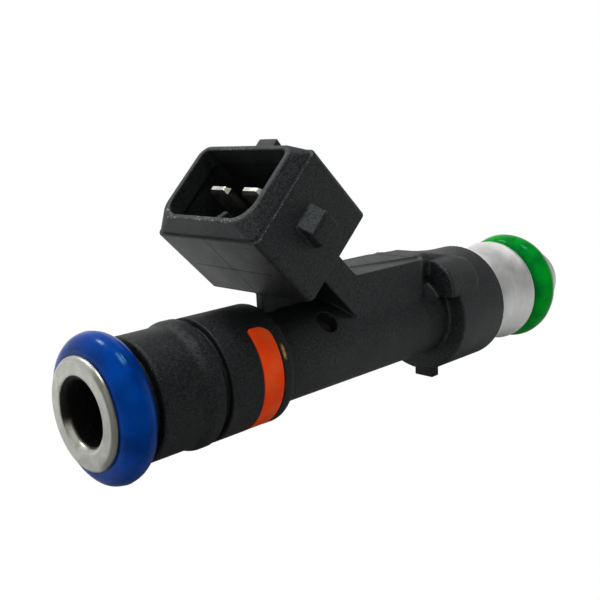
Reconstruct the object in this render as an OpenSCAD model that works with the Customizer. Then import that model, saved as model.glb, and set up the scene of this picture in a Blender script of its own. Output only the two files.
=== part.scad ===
// Port fuel injector with a long body and a two-blade connector socket.
// Lengths are in millimetres. The injector's axis is X: the fuel inlet's face
// is at x = 0 and the nozzle points to +X. The socket leans back over the
// inlet and opens upwards, towards -X and +Z.

/* [Fuel inlet] */
// Bore radius of the steel inlet tube
inlet_bore_r = 3.2; // [3:0.05:3.3]
// Outside radius of the steel inlet tube
tube_r = 3.75; // [3.6:0.05:3.8]
// Outside radius of the tube's rolled flange
flange_r = 5.45; // [5.1:0.05:5.7]
// Thickness of the flange
flange_t = 0.55; // [0.4:0.05:0.55]

/* [Seals] */
// Section radius of the upper O-ring
upper_ring_section_r = 1.77; // [1.6:0.01:1.77]
// Centre of the upper O-ring along the axis
upper_ring_x = 2.35; // [2.35:0.01:2.5]
// Section radius of the lower O-ring
lower_ring_section_r = 1.95; // [1.8:0.01:1.95]
// Centre of the lower O-ring along the axis
lower_ring_x = 69.75; // [69:0.05:69.75]

/* [Moulded body] */
// Where the moulding starts behind the upper O-ring
neck_x = 4.9; // [4.6:0.1:5.2]
// Radius of the neck
neck_r = 6.2; // [6:0.05:6.3]
// Radius of the front barrel, which holds the colour ring
barrel_r = 6.45; // [6.3:0.05:6.6]
// Where the front barrel steps down
barrel_end_x = 20.9; // [20.5:0.1:21.5]
// Radius of the long barrel
shank_r = 5.15; // [5.1:0.05:5.4]
// Radius of the collar over the coil
collar_r = 7.45; // [7.2:0.01:7.6]
// Front face of the collar
collar_x = 48.75; // [48.5:0.05:49]
// Rear end of the collar
collar_end_x = 57.9; // [57.5:0.1:58.8]

/* [Colour ring] */
// Front edge of the colour ring's groove
colour_ring_x = 16.6; // [16.2:0.1:16.8]
// Width of the colour ring
colour_ring_w = 2.75; // [2.4:0.05:3]
// Half of the ring's gap, in degrees about the top
colour_ring_gap = 38; // [30:1:45]

/* [Connector socket] */
// Lean of the socket above the axis, in degrees
socket_tilt = 45; // [45:1:46]
// Width of the socket
socket_w = 15.95; // [15.8:0.05:16.2]
// Height of the socket
socket_h = 11.65; // [11.5:0.05:11.8]
// Depth of the socket behind its bevelled lip, at the bottom edge
socket_d = 9.55; // [9.4:0.05:9.7]
// Length of the bevelled lip
lip_len = 1.75; // [1.5:0.05:1.9]
// How far the lip draws in at its mouth
lip_inset = 1; // [0.9:0.05:1]
// Distance between the two contact blades
blade_pitch = 5; // [4.8:0.1:5.2]

/* [Valve group] */
// Radius of the steel coil cup
cup_r = 6.25; // [6.2:0.05:6.3]
// Radius of the cup's flared rear end, the front wall of the O-ring groove
cup_flare_r = 6.9; // [6.5:0.05:7]
// Rear end of the steel coil cup
cup_end_x = 65.9; // [65.7:0.05:66.2]
// Radius of the nozzle tip
tip_r = 4.4; // [4.3:0.05:4.5]
// End of the nozzle tip, and so the injector's length
tip_x = 76.6; // [76.4:0.05:76.8]
// How far the needle lifts off its seat
needle_lift = 0.08; // [0.06:0.01:0.1]

/* [Hidden] */

black = [0.09, 0.09, 0.1];
steel = [0.72, 0.72, 0.7];
dark_steel = [0.45, 0.46, 0.48];
tin = [0.82, 0.8, 0.72];
eps = 0.01;

// Neck: front lip behind the O-ring, flared rear shoulder and clip groove
neck_bevel = 0.35;
nose_lip_x = 4.25;
nose_lip_r = 5.2;
flare_x = 9.4;
shoulder_x = 10.9;
shoulder_r = 6.52;
clip_groove_x = 11.8;
clip_groove_w = 0.8;
clip_groove_r = 5.8;
barrel_round = 0.6;
colour_ring_t = 0.75;

// Tube, pole core and filter
tube_end_x = 44;
bell_r = 0.66;
spigot_x = 40;
pole_bore_r = 1.75;
sleeve_x = 45;
sleeve_len = 7;
sleeve_bore_r = 1.1;
filter_x = 8;
filter_collar_len = 2.5;
filter_end_x = 22;
filter_r = 2.45;
screen_t = 0.12;

// Socket frame: its origin is the middle of the front bottom edge
socket_x = 15.325;
socket_z = 13.95;
edge_round = 0.7;
back_slant = 0.3;
cavity_w = 12.8;
cavity_y0 = 1.6;
cavity_y1 = 10.1;
cavity_z = -7.6;
cavity_round_low = 2.2;
cavity_round_high = 0.9;
ledge_z = -0.5;
ledge_step = 0.25;
key_rib_w = 0.7;
key_rib_h = 2.3;
key_rib_end = 0.5;
key_rib_top_end = -0.45;
side_latch_w = 3;
side_latch_y = 5.8;
side_latch_profile = [[-eps, -2.8], [1.52, -3.95], [1.28, -4.2], [1.42, -4.5],
                      [1.5, -5.95], [-eps, -6.35]];
top_latch_w = 2.8;
top_latch_profile = [[-eps, -0.05], [1.55, -0.05], [1.35, -1.6], [-eps, -3.2]];

// Stem and rib that carry the terminals back to the coil
stem_half_w = 4.3;
stem_y0 = 4.6;
stem_y1 = 8.05;
rib_z = 7.87;
rib_end_x = 46.3;
rib_fillet = 1.1;
rib_corner = 2.4;
wedge_x = 35;
wedge_half_w = 2.8;
pad_x = 44;
pad_z = 8.15;
pad_half_w = 3.1;
pad_profile = [[pad_x, 5], [pad_x, pad_z], [47.7, pad_z], [54.5, 6.9], [54.5, 5]];
boss_x = 47.5;
boss_r = 8.37;
boss_end_x = 54.5;
boss_end_r = 7.75;
boss_half_w = 6.8;
boss_profile = [[boss_x, 2.85], [boss_x, 7.2], [52.6, 7.2], [54.4, 6.6], [53.5, 4.4],
                [52.4, 2.95]];
post_x = 22.1;
post_len = 1.8;
post_w = 1.2;
web_t = 0.5;
tab_x = 49.9;
tab_len = 1.45;
tab_w = 2.8;
tab_z = -8.8;
core_hole_x = 28.4;
core_hole_r = 1.3;
core_hole_angle = 43;

// Contact blades and the legs that run back inside the moulding
blade_w = 2.8;
blade_t = 0.8;
blade_y = 6.26;
blade_tip_z = 0.24;
blade_root_z = -9;
leg_w = 1;
leg_t = 0.6;
leg_y = 1.4;
leg_z = 4.3;
leg_end_x = 51.4;

// Coil and magnetic circuit
yoke_x = 49.6;
cup_x = 50.8;
cup_wall = 0.6;
cup_floor_x = 61;
body_r = 4.6;
groove_r = 3.45;
cup_flare_x = 62.4;
gap_sleeve_x = 56;
gap_sleeve_r = 4.2;
bobbin_x = 50.9;
bobbin_end_x = 60.6;
bobbin_r = 4.55;
bobbin_flange_r = 5.6;
bobbin_flange_t = 0.8;
winding_r = 5.45;

// Needle, valve and nozzle
armature_r = 3.15;
armature_bore_r = 3.2;
armature_bore_end_x = 66;
armature_end_x = 65.4;
needle_well_r = 2.2;
pole_end_x = 58.75;
armature_x = pole_end_x + needle_lift;
spring_pocket_r = 1.7;
spring_pocket_len = 2;
spring_wire_r = 0.27;
spring_coil_r = 1.33;
spring_turns = 6.5;
needle_r = 1.5;
needle_bore_r = 1;
needle_x = 62.2;
ball_r = 1.75;
ball_x = 74;
seat_x = 73.4;
seat_end_x = 76;
seat_r = 3;
seat_gap = 0.012;
guide_x = 72.6;
ball_guide_r = ball_r + 0.05;
outlet_r = 0.6;
spray_disc_t = 0.2;
tip_shoulder_x = 72.75;
tip_bevel = 0.5;
retainer_x = 71.75;
retainer_r = 6.2;

// Points of a round stretch: centre, radius, and start and end angles
function arc(c, r, a0, a1, n = 8) =
    [for (i = [0:n]) let (a = a0 + (a1 - a0) * i / n) c + r * [cos(a), sin(a)]];

// Outline of a rectangle with round corners, from its lower left corner
function round_rect(w, h, r_low, r_high) = concat(
    arc([w / 2 - r_low, r_low], r_low, -90, 0),
    arc([w / 2 - r_high, h - r_high], r_high, 0, 90),
    arc([r_high - w / 2, h - r_high], r_high, 90, 180),
    arc([r_low - w / 2, r_low], r_low, 180, 270));

// A solid of revolution about the injector's axis, from [x, radius] points
module lathe(points) {
    rotate([0, 90, 0])
        rotate_extrude($fn = 96)
            polygon([for (p = points) [p[1], p[0]]]);
}

// A cylinder on the injector's axis
module rod(r, x0, x1) {
    translate([x0, 0, 0])
        rotate([0, 90, 0])
            cylinder(r = r, h = x1 - x0, $fn = 96);
}

// A plain tube on the injector's axis
module sleeve(r_out, r_in, x0, x1) {
    difference() {
        rod(r_out, x0, x1);
        rod(r_in, x0 - 1, x1 + 1);
    }
}

// An O-ring on the injector's axis
module o_ring(inner_r, section_r, x) {
    translate([x, 0, 0])
        rotate([0, 90, 0])
            rotate_extrude($fn = 96)
                translate([inner_r + section_r, 0])
                    circle(r = section_r, $fn = 48);
}

// A slice of a ring, cut out between two angles measured from +Z about the axis
module top_wedge(half_angle, r, x0, x1) {
    translate([x0, 0, 0])
        rotate([90, 0, 90])
            linear_extrude(x1 - x0)
                polygon([[0, 0], [r * tan(half_angle), r], [-r * tan(half_angle), r]]);
}

// Puts a child into the socket: x across, y up its back, z out of its mouth
module in_socket() {
    translate([socket_x, 0, socket_z])
        rotate([0, socket_tilt - 90, 0])
            rotate([0, 0, -90])
                children();
}

// A plate standing along the axis, from an outline of [x, z] points
module side_plate(points, w) {
    translate([0, w / 2, 0])
        rotate([90, 0, 0])
            linear_extrude(w)
                polygon(points);
}

// A point of the socket's middle plane, as [x, z]
function socket_point(y, z) = [
    socket_x + y * sin(socket_tilt) - z * cos(socket_tilt),
    socket_z + y * cos(socket_tilt) + z * sin(socket_tilt)];

module barrel_solid() {
    lathe(concat(
        [[nose_lip_x, 0], [nose_lip_x, nose_lip_r], [neck_x, nose_lip_r]],
        arc([neck_x + neck_bevel, neck_r - neck_bevel], neck_bevel, 180, 90, 4),
        [[flare_x, neck_r], [(flare_x + shoulder_x) / 2, neck_r + 0.1]],
        [[shoulder_x, shoulder_r]],
        arc([clip_groove_x - 0.25, shoulder_r - 0.25], 0.25, 90, 0, 4),
        [[clip_groove_x, clip_groove_r], [clip_groove_x + clip_groove_w, clip_groove_r],
         [clip_groove_x + clip_groove_w, barrel_r], [colour_ring_x, barrel_r],
         [colour_ring_x, barrel_r - colour_ring_t],
         [colour_ring_x + colour_ring_w, barrel_r - colour_ring_t],
         [colour_ring_x + colour_ring_w, barrel_r]],
        arc([barrel_end_x - barrel_round, barrel_r - barrel_round], barrel_round, 90, 0, 6),
        [[barrel_end_x, shank_r], [collar_x, shank_r], [collar_x, collar_r - 0.2],
         [collar_x + 0.2, collar_r], [collar_end_x - 0.5, collar_r],
         [collar_end_x, collar_r - 0.5], [collar_end_x, 0]]));
}

// Full barrel left standing between the colour ring's ends
module colour_ring_stop() {
    intersection() {
        sleeve(barrel_r, tube_r, colour_ring_x, colour_ring_x + colour_ring_w);
        top_wedge(colour_ring_gap, 2 * barrel_r, colour_ring_x, colour_ring_x + colour_ring_w);
    }
}

// A latch ramp that stands out along Y, from an outline of [height, z] points
module latch(profile, w) {
    rotate([90, 0, 90])
        translate([0, 0, -w / 2])
            linear_extrude(w)
                polygon(profile);
}

// Socket body, whose back leans a little
module socket_body() {
    intersection() {
        in_socket()
            translate([0, 0, -2 * socket_d])
                linear_extrude(2 * socket_d)
                    polygon(round_rect(socket_w, socket_h, edge_round, edge_round));
        side_plate([socket_point(-1, 1), socket_point(socket_h + 1, 1),
                    socket_point(socket_h + 1, -socket_d - back_slant),
                    socket_point(0, -socket_d), socket_point(-1, -socket_d)], 2 * socket_w);
    }
}

// Rib inside the socket that keys the plug, with a sloping front end
module key_rib() {
    translate([-key_rib_w / 2, 0, 0])
        rotate([90, 0, 90])
            linear_extrude(key_rib_w)
                polygon([[cavity_y0 - 0.2, key_rib_end], [cavity_y0 + key_rib_h, key_rib_top_end],
                         [cavity_y0 + key_rib_h, cavity_z - 0.2], [cavity_y0 - 0.2, cavity_z - 0.2]]);
}

module socket_shell() {
    difference() {
        union() {
            socket_body();
            in_socket()
                hull() {
                    translate([0, 0.15, -eps])
                        linear_extrude(eps)
                            polygon(round_rect(socket_w - 0.3, socket_h - 0.3, 0.7, 0.7));
                    translate([0, lip_inset, lip_len - eps])
                        linear_extrude(eps)
                            polygon(round_rect(socket_w - 2 * lip_inset,
                                               socket_h - 2 * lip_inset, 2.4, 1.4));
                }
        }
        in_socket() {
            translate([0, cavity_y0, cavity_z])
                linear_extrude(20)
                    polygon(round_rect(cavity_w, cavity_y1 - cavity_y0,
                                       cavity_round_low, cavity_round_high));
            translate([0, cavity_y0, cavity_z])
                linear_extrude(ledge_z - cavity_z)
                    polygon(round_rect(cavity_w + 2 * ledge_step,
                                       cavity_y1 - cavity_y0 + ledge_step,
                                       cavity_round_low, cavity_round_high));
        }
    }
    in_socket() {
        key_rib();
        translate([0, socket_h, 0])
            latch(top_latch_profile, top_latch_w);
        for (side = [-1, 1])
            translate([side * socket_w / 2, side_latch_y, 0])
                rotate([0, 0, -90 * side])
                    latch(side_latch_profile, side_latch_w);
    }
}

module stem_and_rib() {
    front_low = socket_point(stem_y0, -socket_d - 12);
    front_high = socket_point(stem_y0, -socket_d + 1);
    rear_high = socket_point(stem_y1, -socket_d + 1);
    rear_foot = socket_point(stem_y1, -socket_d - 6.5);
    intersection() {
        side_plate(concat(
            [front_low, front_high, rear_high],
            arc([rear_foot[0] + 0.95, rib_z + rib_fillet], rib_fillet, 225, 270, 5),
            [[rib_end_x, rib_z], [rib_end_x, 2], [front_low[0], 2]]), 2 * stem_half_w);
        linear_extrude(40)
            polygon(concat(
                [[0, -stem_half_w]],
                arc([rib_end_x - rib_corner, rib_corner - stem_half_w], rib_corner, -90, 0),
                arc([rib_end_x - rib_corner, stem_half_w - rib_corner], rib_corner, 0, 90),
                [[0, stem_half_w]]));
    }
}

// Raised pad over the terminals, with a wedge that rises to it along the rib
module terminal_pad() {
    side_plate(pad_profile, 2 * pad_half_w);
    intersection() {
        side_plate([[wedge_x, rib_z - 1], [wedge_x, rib_z], [pad_x + eps, pad_z],
                    [pad_x + eps, rib_z - 1]], 2 * wedge_half_w);
        linear_extrude(2 * pad_z)
            polygon([[wedge_x, 0], [pad_x + eps, -wedge_half_w], [pad_x + eps, wedge_half_w]]);
    }
}

module collar_boss() {
    intersection() {
        translate([boss_x, 0, 0])
            rotate([0, 90, 0])
                cylinder(r1 = boss_r, r2 = boss_end_r, h = boss_end_x - boss_x, $fn = 96);
        side_plate(boss_profile, 2 * boss_half_w);
    }
}

module post_and_web() {
    translate([post_x, -post_w / 2, shank_r - 0.6])
        cube([post_len, post_w, 3.6]);
    side_plate([[post_x + 1, shank_r - 0.6], [32.4, shank_r - 0.6],
                socket_point(stem_y0 + 0.4, -socket_d + 0.4),
                socket_point(0.9, -socket_d + 0.4)], web_t);
}

module bottom_tab() {
    side_plate([[tab_x, -6], [tab_x, tab_z + 0.15], [tab_x + tab_len, tab_z],
                [tab_x + tab_len, -6]], tab_w);
}

module core_pin_holes() {
    for (side = [-1, 1])
        translate([core_hole_x, 0, 0])
            rotate([side * (90 - core_hole_angle), 0, 0])
                cylinder(r = core_hole_r, h = 8, $fn = 48);
}

// Contact blade, coined thinner and narrower at its tip
module blade() {
    intersection() {
        rotate([90, 0, 0])
            linear_extrude(blade_t, center = true)
                polygon([[-blade_w / 2, blade_root_z], [blade_w / 2, blade_root_z],
                         [blade_w / 2, blade_tip_z - 0.5], [blade_w / 2 - 0.35, blade_tip_z],
                         [0.35 - blade_w / 2, blade_tip_z], [-blade_w / 2, blade_tip_z - 0.5]]);
        rotate([90, 0, 90])
            linear_extrude(blade_w, center = true)
                polygon([[-blade_t / 2, blade_root_z], [blade_t / 2, blade_root_z],
                         [blade_t / 2, blade_tip_z - 0.5], [0.22, blade_tip_z],
                         [-0.22, blade_tip_z], [-blade_t / 2, blade_tip_z - 0.5]]);
    }
}

// Terminal on one side: contact blade in the socket, then a leg to the coil
module terminal_shape(side) {
    bend_z = (leg_z - socket_z - blade_y * cos(socket_tilt)) / sin(socket_tilt);
    bend_x = socket_point(blade_y, bend_z)[0];
    in_socket() {
        translate([side * blade_pitch / 2, blade_y, 0])
            blade();
        translate([side * leg_y - leg_w / 2, blade_y - leg_t / 2, bend_z])
            cube([leg_w, leg_t, blade_root_z + 1 - bend_z]);
    }
    translate([bend_x, -side * leg_y - leg_w / 2, leg_z])
        rotate([-90, 0, 0])
            cylinder(r = leg_t / 2, h = leg_w, $fn = 32);
    translate([bend_x, -side * leg_y - leg_w / 2, leg_z - leg_t / 2])
        cube([leg_end_x - bend_x, leg_w, leg_t]);
}

module yoke_shape() {
    difference() {
        sleeve(cup_r, tube_r, yoke_x, cup_x);
        top_wedge(38, 2 * cup_r, yoke_x - 1, cup_x + 1);
    }
}

module housing() {
    color(black)
        difference() {
            union() {
                barrel_solid();
                colour_ring_stop();
                socket_shell();
                stem_and_rib();
                terminal_pad();
                collar_boss();
                post_and_web();
                bottom_tab();
            }
            rod(tube_r, -1, collar_end_x + 1);
            rod(cup_r, cup_x, collar_end_x + 1);
            yoke_shape();
            core_pin_holes();
            terminal_shape(-1);
            terminal_shape(1);
        }
}

module inlet_tube() {
    flange_round = 0.4;
    color(steel)
        lathe(concat(
            arc([bell_r + eps, inlet_bore_r + bell_r], bell_r, 270, 190, 6),
            [[0, inlet_bore_r + bell_r + 0.1]],
            arc([flange_round, flange_r - flange_round], flange_round, 180, 90, 5),
            [[flange_t, flange_r], [flange_t, tube_r], [tube_end_x, tube_r],
             [tube_end_x, inlet_bore_r]]));
}

module upper_o_ring() {
    color([0.04, 0.25, 0.75])
        o_ring(tube_r, upper_ring_section_r, upper_ring_x);
}

module colour_ring() {
    color([0.85, 0.25, 0.06])
        difference() {
            sleeve(barrel_r - 0.05, barrel_r - colour_ring_t, colour_ring_x + 0.05,
                   colour_ring_x + colour_ring_w - 0.05);
            top_wedge(colour_ring_gap + 0.6, 2 * barrel_r, 0, tube_end_x);
        }
}

module filter_collar() {
    color([0.75, 0.62, 0.35])
        sleeve(inlet_bore_r, filter_r + 0.1, filter_x, filter_x + filter_collar_len);
}

// Cage with windows between four ribs and a closed end
module filter_cage() {
    window_x = filter_x + filter_collar_len + 0.8;
    color([0.85, 0.84, 0.78])
        difference() {
            union() {
                rod(filter_r + 0.1, filter_x + 0.4, window_x);
                rod(filter_r, window_x - 0.5, filter_end_x);
            }
            rod(filter_r - 0.55, filter_x - 1, filter_end_x - 0.8);
            sleeve(filter_r + 1, filter_r - screen_t, window_x, filter_end_x - 1.2);
            for (turn = [45, 135])
                translate([window_x, 0, 0])
                    rotate([turn, 0, 0])
                        translate([0, -filter_r * 2, -1.35])
                            cube([filter_end_x - 1.2 - window_x, filter_r * 4, 2.7]);
        }
}

module filter_screen() {
    window_x = filter_x + filter_collar_len + 0.8;
    color([0.8, 0.8, 0.8])
        sleeve(filter_r, filter_r - screen_t, window_x, filter_end_x - 1.2);
}

module pole_core() {
    color(dark_steel)
        difference() {
            union() {
                rod(inlet_bore_r, spigot_x, tube_end_x);
                rod(tube_r, tube_end_x, pole_end_x);
            }
            rod(pole_bore_r, spigot_x - 1, pole_end_x + 1);
        }
}

module adjusting_sleeve() {
    color(tin)
        sleeve(pole_bore_r, sleeve_bore_r, sleeve_x, sleeve_x + sleeve_len);
}

// One ring of the spring's wire, swept round by the helix's own formula
function spring_ring(t, x0, pitch) = let (a = 360 * t) [
    for (s = [0:7]) let (b = 45 * s, r = spring_coil_r + spring_wire_r * cos(b)) [
        x0 + pitch * t + spring_wire_r * sin(b), r * cos(a), r * sin(a)]];

module closing_spring() {
    x0 = sleeve_x + sleeve_len + spring_wire_r;
    x1 = armature_x + spring_pocket_len - spring_wire_r;
    steps = 16 * spring_turns;
    rings = [for (i = [0:steps]) spring_ring(i / 16, x0, (x1 - x0) / spring_turns)];
    points = [for (ring = rings) for (p = ring) p];
    sides = [for (i = [0:steps - 1]) for (s = [0:7])
        [8 * i + s, 8 * i + (s + 1) % 8, 8 * (i + 1) + (s + 1) % 8, 8 * (i + 1) + s]];
    color(steel)
        polyhedron(points, concat([[7, 6, 5, 4, 3, 2, 1, 0]], sides,
                                  [[for (s = [0:7]) 8 * steps + s]]), convexity = 10);
}

module armature() {
    color(dark_steel)
        difference() {
            rod(armature_r, armature_x, armature_end_x);
            rod(spring_pocket_r, armature_x - 1, armature_x + spring_pocket_len);
            rod(needle_bore_r, armature_x, armature_end_x + 1);
            rod(needle_r, needle_x, armature_end_x + 1);
        }
}

// Hollow needle with cross holes that let the fuel out above the ball
module needle_tube() {
    color(steel)
        difference() {
            rod(needle_r, needle_x, ball_x - 0.8);
            rod(needle_bore_r, needle_x - 1, ball_x);
            translate([ball_x, 0, 0])
                sphere(r = ball_r, $fn = 64);
            for (turn = [0, 90])
                translate([ball_x - 4, 0, 0])
                    rotate([turn, 0, 0])
                        cylinder(r = 0.5, h = 4 * needle_r, center = true, $fn = 24);
        }
}

module valve_ball() {
    color(steel)
        translate([ball_x, 0, 0])
            sphere(r = ball_r, $fn = 64);
}

module guide_disc() {
    color(dark_steel)
        difference() {
            sleeve(seat_r, ball_guide_r, guide_x, seat_x);
            for (turn = [0:72:359])
                rotate([turn, 0, 0])
                    translate([guide_x - 1, 0, (seat_r + ball_guide_r) / 2])
                        rotate([0, 90, 0])
                            cylinder(r = 0.35, h = 3, $fn = 24);
        }
}

// Conical seat: the ball touches it at 45 degrees
module valve_seat() {
    touch = ball_r * sin(45);
    cone_x = ball_x + touch + seat_gap;
    color(dark_steel)
        lathe([[seat_x, ball_guide_r], [seat_x, seat_r], [seat_end_x, seat_r],
               [seat_end_x, outlet_r], [cone_x + touch - outlet_r, outlet_r],
               [cone_x + touch - ball_guide_r, ball_guide_r]]);
}

module spray_disc() {
    color(steel)
        difference() {
            rod(seat_r, seat_end_x, seat_end_x + spray_disc_t);
            for (turn = [45:90:359])
                rotate([turn, 0, 0])
                    translate([seat_end_x - 1, 0, 0.35])
                        rotate([0, 90, 0])
                            cylinder(r = 0.12, h = 2, $fn = 24);
        }
}

module valve_body() {
    color(steel)
        lathe([[cup_floor_x, armature_bore_r], [cup_floor_x, body_r], [cup_end_x, body_r],
               [cup_end_x, groove_r], [tip_shoulder_x, groove_r], [tip_shoulder_x, tip_r],
               [tip_x - tip_bevel, tip_r], [tip_x, tip_r - tip_bevel], [tip_x, seat_r],
               [guide_x, seat_r], [guide_x, needle_well_r], [armature_bore_end_x, needle_well_r],
               [armature_bore_end_x, armature_bore_r]]);
}

// Non-magnetic sleeve that joins the pole core to the valve body
module gap_sleeve() {
    color(steel)
        lathe([[gap_sleeve_x, tube_r], [gap_sleeve_x, gap_sleeve_r],
               [cup_floor_x, gap_sleeve_r], [cup_floor_x, armature_bore_r],
               [pole_end_x, armature_bore_r], [pole_end_x, tube_r]]);
}

module coil_bobbin() {
    color([0.25, 0.2, 0.16])
        difference() {
            lathe([[bobbin_x, gap_sleeve_r], [bobbin_x, bobbin_flange_r],
                   [bobbin_x + bobbin_flange_t, bobbin_flange_r],
                   [bobbin_x + bobbin_flange_t, bobbin_r],
                   [bobbin_end_x - bobbin_flange_t, bobbin_r],
                   [bobbin_end_x - bobbin_flange_t, bobbin_flange_r],
                   [bobbin_end_x, bobbin_flange_r], [bobbin_end_x, gap_sleeve_r]]);
            terminal_shape(-1);
            terminal_shape(1);
        }
}

module coil_winding() {
    color([0.72, 0.4, 0.18])
        sleeve(winding_r, bobbin_r, bobbin_x + bobbin_flange_t, bobbin_end_x - bobbin_flange_t);
}

module yoke_washer() {
    color(dark_steel)
        yoke_shape();
}

module coil_cup() {
    flare_len = cup_end_x - 0.3 - cup_flare_x;
    color(steel)
        lathe(concat(
            [[cup_x, cup_r - cup_wall], [cup_x, cup_r], [cup_flare_x, cup_r]],
            [for (i = [1:6]) let (t = i / 6)
                [cup_flare_x + flare_len * t, cup_r + (cup_flare_r - cup_r) * t * t]],
            [[cup_end_x, cup_flare_r - 0.1], [cup_end_x, body_r], [cup_floor_x, body_r],
             [cup_floor_x, cup_r - cup_wall]]));
}

module terminal_left() {
    color(tin)
        terminal_shape(-1);
}

module terminal_right() {
    color(tin)
        terminal_shape(1);
}

module lower_o_ring() {
    color([0.02, 0.45, 0.2])
        o_ring(groove_r, lower_ring_section_r, lower_ring_x);
}

module ring_retainer() {
    color([0.16, 0.18, 0.17])
        lathe([[retainer_x, groove_r], [retainer_x, retainer_r - 0.2],
               [retainer_x + 0.2, retainer_r], [tip_shoulder_x - 0.6, retainer_r],
               [tip_shoulder_x, retainer_r - 0.6], [tip_shoulder_x, groove_r]]);
}

housing();
inlet_tube();
upper_o_ring();
colour_ring();
filter_collar();
filter_cage();
filter_screen();
pole_core();
adjusting_sleeve();
closing_spring();
armature();
needle_tube();
valve_ball();
guide_disc();
valve_seat();
spray_disc();
valve_body();
gap_sleeve();
coil_bobbin();
coil_winding();
yoke_washer();
coil_cup();
terminal_left();
terminal_right();
lower_o_ring();
ring_retainer();
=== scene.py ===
"""Port fuel injector: the looks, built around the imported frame.

Lengths are in millimetres, in the part's own frame, and mm() turns them into
Blender's metres. The injector's axis is X, the nozzle points to +X, and the
connector socket leans back over the inlet towards -X and +Z.
"""
import math

import bmesh
import bpy
import numpy as np
import openvdb
from mathutils import Matrix, Vector, noise


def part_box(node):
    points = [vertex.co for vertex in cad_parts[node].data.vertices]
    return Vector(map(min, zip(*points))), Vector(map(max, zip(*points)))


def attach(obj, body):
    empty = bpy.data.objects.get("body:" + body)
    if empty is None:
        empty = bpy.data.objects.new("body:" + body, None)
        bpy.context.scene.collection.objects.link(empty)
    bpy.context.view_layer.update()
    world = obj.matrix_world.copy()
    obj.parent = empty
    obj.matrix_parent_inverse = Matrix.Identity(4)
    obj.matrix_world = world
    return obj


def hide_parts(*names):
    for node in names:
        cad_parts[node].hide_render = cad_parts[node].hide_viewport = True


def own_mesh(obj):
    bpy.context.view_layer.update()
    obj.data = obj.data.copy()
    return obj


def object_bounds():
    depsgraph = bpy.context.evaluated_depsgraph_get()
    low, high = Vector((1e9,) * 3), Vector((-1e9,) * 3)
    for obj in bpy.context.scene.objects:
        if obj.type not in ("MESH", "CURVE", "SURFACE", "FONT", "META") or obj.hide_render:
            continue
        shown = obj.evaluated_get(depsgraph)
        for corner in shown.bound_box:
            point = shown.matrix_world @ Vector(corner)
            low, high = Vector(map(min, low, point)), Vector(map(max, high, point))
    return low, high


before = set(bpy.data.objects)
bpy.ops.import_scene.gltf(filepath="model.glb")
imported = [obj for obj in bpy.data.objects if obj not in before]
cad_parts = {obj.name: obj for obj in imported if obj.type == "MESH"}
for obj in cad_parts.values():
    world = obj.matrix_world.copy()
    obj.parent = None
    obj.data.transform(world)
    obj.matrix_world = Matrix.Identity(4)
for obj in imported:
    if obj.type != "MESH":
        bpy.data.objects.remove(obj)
cad_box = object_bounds()

MM = 0.001


def mm(*values):
    """A point or a length, from millimetres to metres."""
    return values[0] * MM if len(values) == 1 else Vector(values) * MM


def span(node, axis):
    """Lowest and highest value of a CAD node along one axis, in millimetres."""
    low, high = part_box(node)
    return low[axis] / MM, high[axis] / MM


# ---------------------------------------------------------------- camera

AIM = (28.08, 0.0, 5.456)
DISTANCE = 94.8
AZIMUTH = 43.84
ELEVATION = 12.04
ROLL = -2.856
SENSOR = 36.0
LENS = 51.27


def make_camera():
    data = bpy.data.cameras.new("camera")
    data.sensor_width = SENSOR
    data.lens = LENS
    data.clip_start = 0.005
    data.clip_end = 10
    camera = bpy.data.objects.new("camera", data)
    bpy.context.scene.collection.objects.link(camera)
    a, e = math.radians(AZIMUTH), math.radians(ELEVATION)
    back = Vector((-math.sin(a) * math.cos(e), -math.cos(a) * math.cos(e), math.sin(e)))
    right = Vector((math.cos(a), -math.sin(a), 0))
    up = back.cross(right)
    turn = Matrix((right, up, back)).transposed() @ Matrix.Rotation(math.radians(ROLL), 3, "Z")
    camera.matrix_world = Matrix.Translation(mm(*AIM) + back * mm(DISTANCE)) @ turn.to_4x4()
    bpy.context.scene.camera = camera


make_camera()

# ---------------------------------------------------------------- sizes

# Inlet and upper seal
TUBE_R, BORE_R, BELL_R = 3.75, 3.2, 0.66
FLANGE_T, FLANGE_EDGE, RIM_R = 0.55, 0.4, 5.1
UPPER_RING_R, LOWER_RING_R, GROOVE_R = 1.77, 1.95, 3.45
RING_FLASH, RING_WAVE = 0.035, 0.05

# Moulded barrel
NOSE_X, NOSE_R = 4.25, 5.2
NECK_X, NECK_R = 4.9, 6.2
FLARE_X, SHOULDER_X, SHOULDER_R = 9.4, 10.6, 6.56
CLIP_X, CLIP_W, CLIP_R = 11.8, 0.8, 5.8
BARREL_R, BARREL_END = 6.45, 20.9
RING_X, RING_W, RING_T, RING_GAP = 16.6, 2.75, 0.75, 38.0
RING_FRONT_CORNER, RING_REAR_CORNER = 0.4, 1.3
RESIDUE_ANGLE = 68.0
DULL_TO_X, SHINY_FROM_X = 18, 28
SHANK_R = 5.15
COLLAR_X, COLLAR_END, COLLAR_R = 48.75, 57.9, 7.45

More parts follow.
